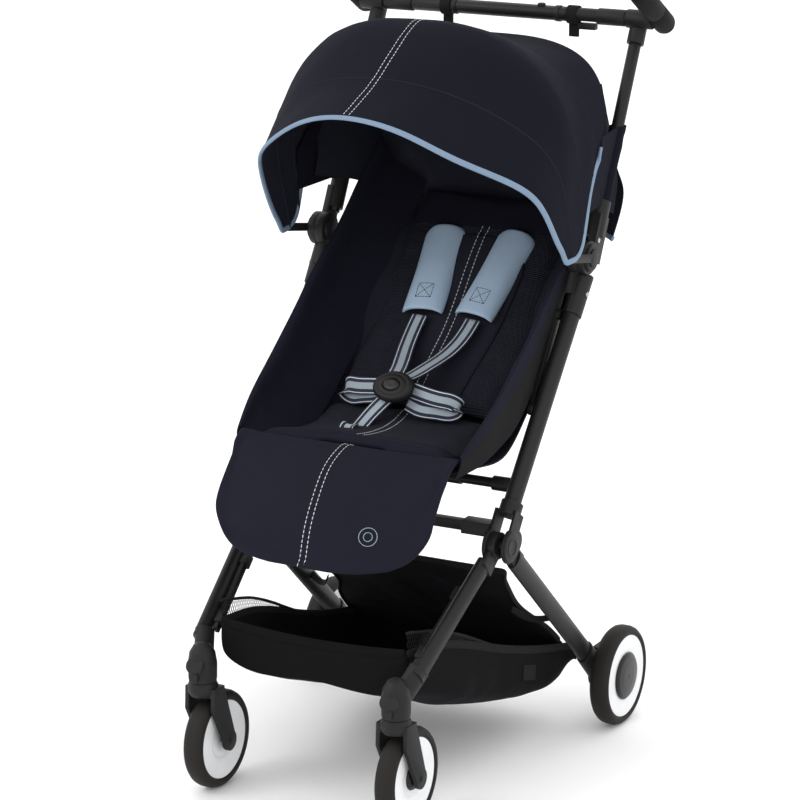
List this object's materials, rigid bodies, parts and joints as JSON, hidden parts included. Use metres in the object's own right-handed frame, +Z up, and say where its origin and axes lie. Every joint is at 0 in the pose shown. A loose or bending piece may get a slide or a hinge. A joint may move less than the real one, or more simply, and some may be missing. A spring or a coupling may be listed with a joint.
{
  "type": "compact folding baby stroller",
  "caption": "Compact folding stroller: reclined sling seat, arched canopy, leg rest, basket, swivel front castors and twin grips on a cross tube.",
  "frame": {"origin": "on the floor, at the centre of the bounding box", "axes": "-Y is the front, where the child faces; +Z up; X across, with the wheels' axles along X"},
  "size_m": [0.5208, 0.6928, 1.0919],
  "materials": {
    "tube": "satin black powder coat",
    "black_plastic": "fine textured moulded plastic",
    "grip": "soft-touch foam and plastic",
    "tyre": "solid foam tyre",
    "rim": "white moulded disc",
    "hub": "glossy dark cap",
    "navy_fabric": "woven navy polyester",
    "charcoal_fabric": "charcoal woven polyester",
    "pad_fabric": "light blue soft fabric",
    "webbing": "navy webbing with pale stripes",
    "steel": "dark screws"
  },
  "bodies": {
    "frame": {"push_tubes": "tube", "pivot_housings": "black_plastic", "pivot_caps": "black_plastic", "hinge_lowers": "black_plastic", "link_bars": "tube", "frame_screws": "steel", "seat_brace": "tube", "lower_cross_link": "black_plastic", "seat_base": "navy_fabric", "side_wings": "navy_fabric", "buckle": "black_plastic", "lap_straps": "webbing"},
    "backrest": {"backrest_panel": "navy_fabric", "shoulder_pads": "pad_fabric", "shoulder_straps": "webbing"},
    "handle": {"hinge_uppers": "black_plastic", "hinge_caps": "black_plastic", "handle_screws": "steel", "handle_tubes": "tube", "handle_collars": "black_plastic", "cross_tube": "tube", "cross_sleeves": "black_plastic", "grips": "grip", "grip_caps": "grip", "strap_hooks": "webbing", "canopy_rear_panel": "navy_fabric"},
    "fold_trigger": {"fold_trigger": "black_plastic"},
    "fold_button": {"fold_button": "black_plastic"},
    "canopy_front": {"canopy_front_panel": "navy_fabric", "canopy_arms": "black_plastic"},
    "canopy_second": {"canopy_second_panel": "navy_fabric"},
    "canopy_top": {"canopy_top_panel": "navy_fabric"},
    "leg_rest": {"leg_rest": "navy_fabric"},
    "buckle_button": {"buckle_button": "black_plastic"},
    "front_legs": {"front_leg_left": "tube", "front_leg_right": "tube", "front_rails": "black_plastic", "castor_housings": "black_plastic"},
    "castor_left": {"fork_left": "black_plastic"},
    "castor_right": {"fork_right": "black_plastic"},
    "front_wheel_left": {"front_tyre_left": "tyre", "front_rim_left": "rim", "front_hub_left": "hub"},
    "front_wheel_right": {"front_tyre_right": "tyre", "front_rim_right": "rim", "front_hub_right": "hub"},
    "swivel_lock_left": {"swivel_lock_left": "black_plastic"},
    "swivel_lock_right": {"swivel_lock_right": "black_plastic"},
    "rear_legs": {"rear_leg_left": "tube", "rear_leg_right": "tube", "rear_hub_housings": "black_plastic", "brake_pivot": "black_plastic", "basket": "charcoal_fabric"},
    "rear_wheel_left": {"rear_tyre_left": "tyre", "rear_rim_left": "rim", "rear_cap_left": "hub"},
    "rear_wheel_right": {"rear_tyre_right": "tyre", "rear_rim_right": "rim", "rear_cap_right": "hub"},
    "brake_pedal": {"brake_pedal": "black_plastic"}
  },
  "joints": [
    {"name": "frame_fold", "type": "hinge", "parent": "frame", "child": "handle", "pos_m": [0, 0.138, 0.716], "axis": [1, 0, 0], "range_deg": [0, 165], "deforming": ["seat_base", "side_wings", "leg_rest", "backrest_panel", "shoulder_pads", "shoulder_straps", "lap_straps", "canopy_front_panel", "canopy_second_panel", "canopy_top_panel", "canopy_rear_panel", "basket"]},
    {"name": "front_leg_fold", "type": "hinge", "parent": "frame", "child": "front_legs", "pos_m": [0, -0.095, 0.354], "axis": [1, 0, 0], "range_deg": [0, 146.5]},
    {"name": "rear_leg_fold", "type": "hinge", "parent": "frame", "child": "rear_legs", "pos_m": [0, -0.0745, 0.3563], "axis": [1, 0, 0], "range_deg": [0, 85.5]},
    {"name": "canopy_fold", "type": "hinge", "parent": "handle", "child": "canopy_front", "pos_m": [0, 0.138, 0.716], "axis": [-1, 0, 0], "range_deg": [0, 60]},
    {"name": "canopy_second_fold", "type": "hinge", "parent": "handle", "child": "canopy_second", "pos_m": [0, 0.138, 0.716], "axis": [-1, 0, 0], "range_deg": [0, 48.5]},
    {"name": "canopy_top_fold", "type": "hinge", "parent": "handle", "child": "canopy_top", "pos_m": [0, 0.138, 0.716], "axis": [-1, 0, 0], "range_deg": [0, 32.3]},
    {"name": "backrest_recline", "type": "hinge", "parent": "frame", "child": "backrest", "pos_m": [0, 0.033, 0.4835], "axis": [1, 0, 0], "range_deg": [0, 20]},
    {"name": "leg_rest_tilt", "type": "hinge", "parent": "frame", "child": "leg_rest", "pos_m": [0, -0.168, 0.479], "axis": [-1, 0, 0], "range_deg": [0, 42]},
    {"name": "castor_swivel_left", "type": "hinge", "parent": "front_legs", "child": "castor_left", "pos_m": [-0.1527, -0.307, 0.15], "axis": [0, 0, 1], "continuous": true},
    {"name": "front_wheel_spin_left", "type": "hinge", "parent": "castor_left", "child": "front_wheel_left", "pos_m": [-0.1515, -0.276, 0.07], "axis": [1, 0, 0], "continuous": true},
    {"name": "rear_wheel_spin_left", "type": "hinge", "parent": "rear_legs", "child": "rear_wheel_left", "pos_m": [-0.242, 0.2126, 0.074], "axis": [1, 0, 0], "continuous": true},
    {"name": "swivel_lock_slide_left", "type": "slide", "parent": "front_legs", "child": "swivel_lock_left", "axis": [0, 0, -1], "range_m": [0, 0.005]},
    {"name": "castor_swivel_right", "type": "hinge", "parent": "front_legs", "child": "castor_right", "pos_m": [0.1527, -0.307, 0.15], "axis": [0, 0, 1], "continuous": true},
    {"name": "front_wheel_spin_right", "type": "hinge", "parent": "castor_right", "child": "front_wheel_right", "pos_m": [0.1515, -0.276, 0.07], "axis": [1, 0, 0], "continuous": true},
    {"name": "rear_wheel_spin_right", "type": "hinge", "parent": "rear_legs", "child": "rear_wheel_right", "pos_m": [0.242, 0.2126, 0.074], "axis": [1, 0, 0], "continuous": true},
    {"name": "swivel_lock_slide_right", "type": "slide", "parent": "front_legs", "child": "swivel_lock_right", "axis": [0, 0, -1], "range_m": [0, 0.005]},
    {"name": "fold_trigger_pull", "type": "slide", "parent": "handle", "child": "fold_trigger", "axis": [0, 0, 1], "range_m": [0, 0.0035], "stiffness_N_per_m": 400},
    {"name": "fold_button_press", "type": "slide", "parent": "handle", "child": "fold_button", "axis": [0, 0, -1], "range_m": [0, 0.0022], "stiffness_N_per_m": 400},
    {"name": "buckle_button_press", "type": "slide", "parent": "frame", "child": "buckle_button", "axis": [0, 0.76, -0.65], "range_m": [0, 0.0021], "stiffness_N_per_m": 400},
    {"name": "brake_pedal_press", "type": "hinge", "parent": "rear_legs", "child": "brake_pedal", "pos_m": [0.2, 0.246, 0.092], "axis": [-1, 0, 0], "range_deg": [0, 22]}
  ],
  "couplings": [
    {"joint": "front_leg_fold", "follows": "frame_fold", "ratio": 0.88485},
    {"joint": "rear_leg_fold", "follows": "frame_fold", "ratio": 0.51515},
    {"joint": "canopy_second_fold", "follows": "canopy_fold", "ratio": 0.8},
    {"joint": "canopy_top_fold", "follows": "canopy_fold", "ratio": 0.53}
  ]
}
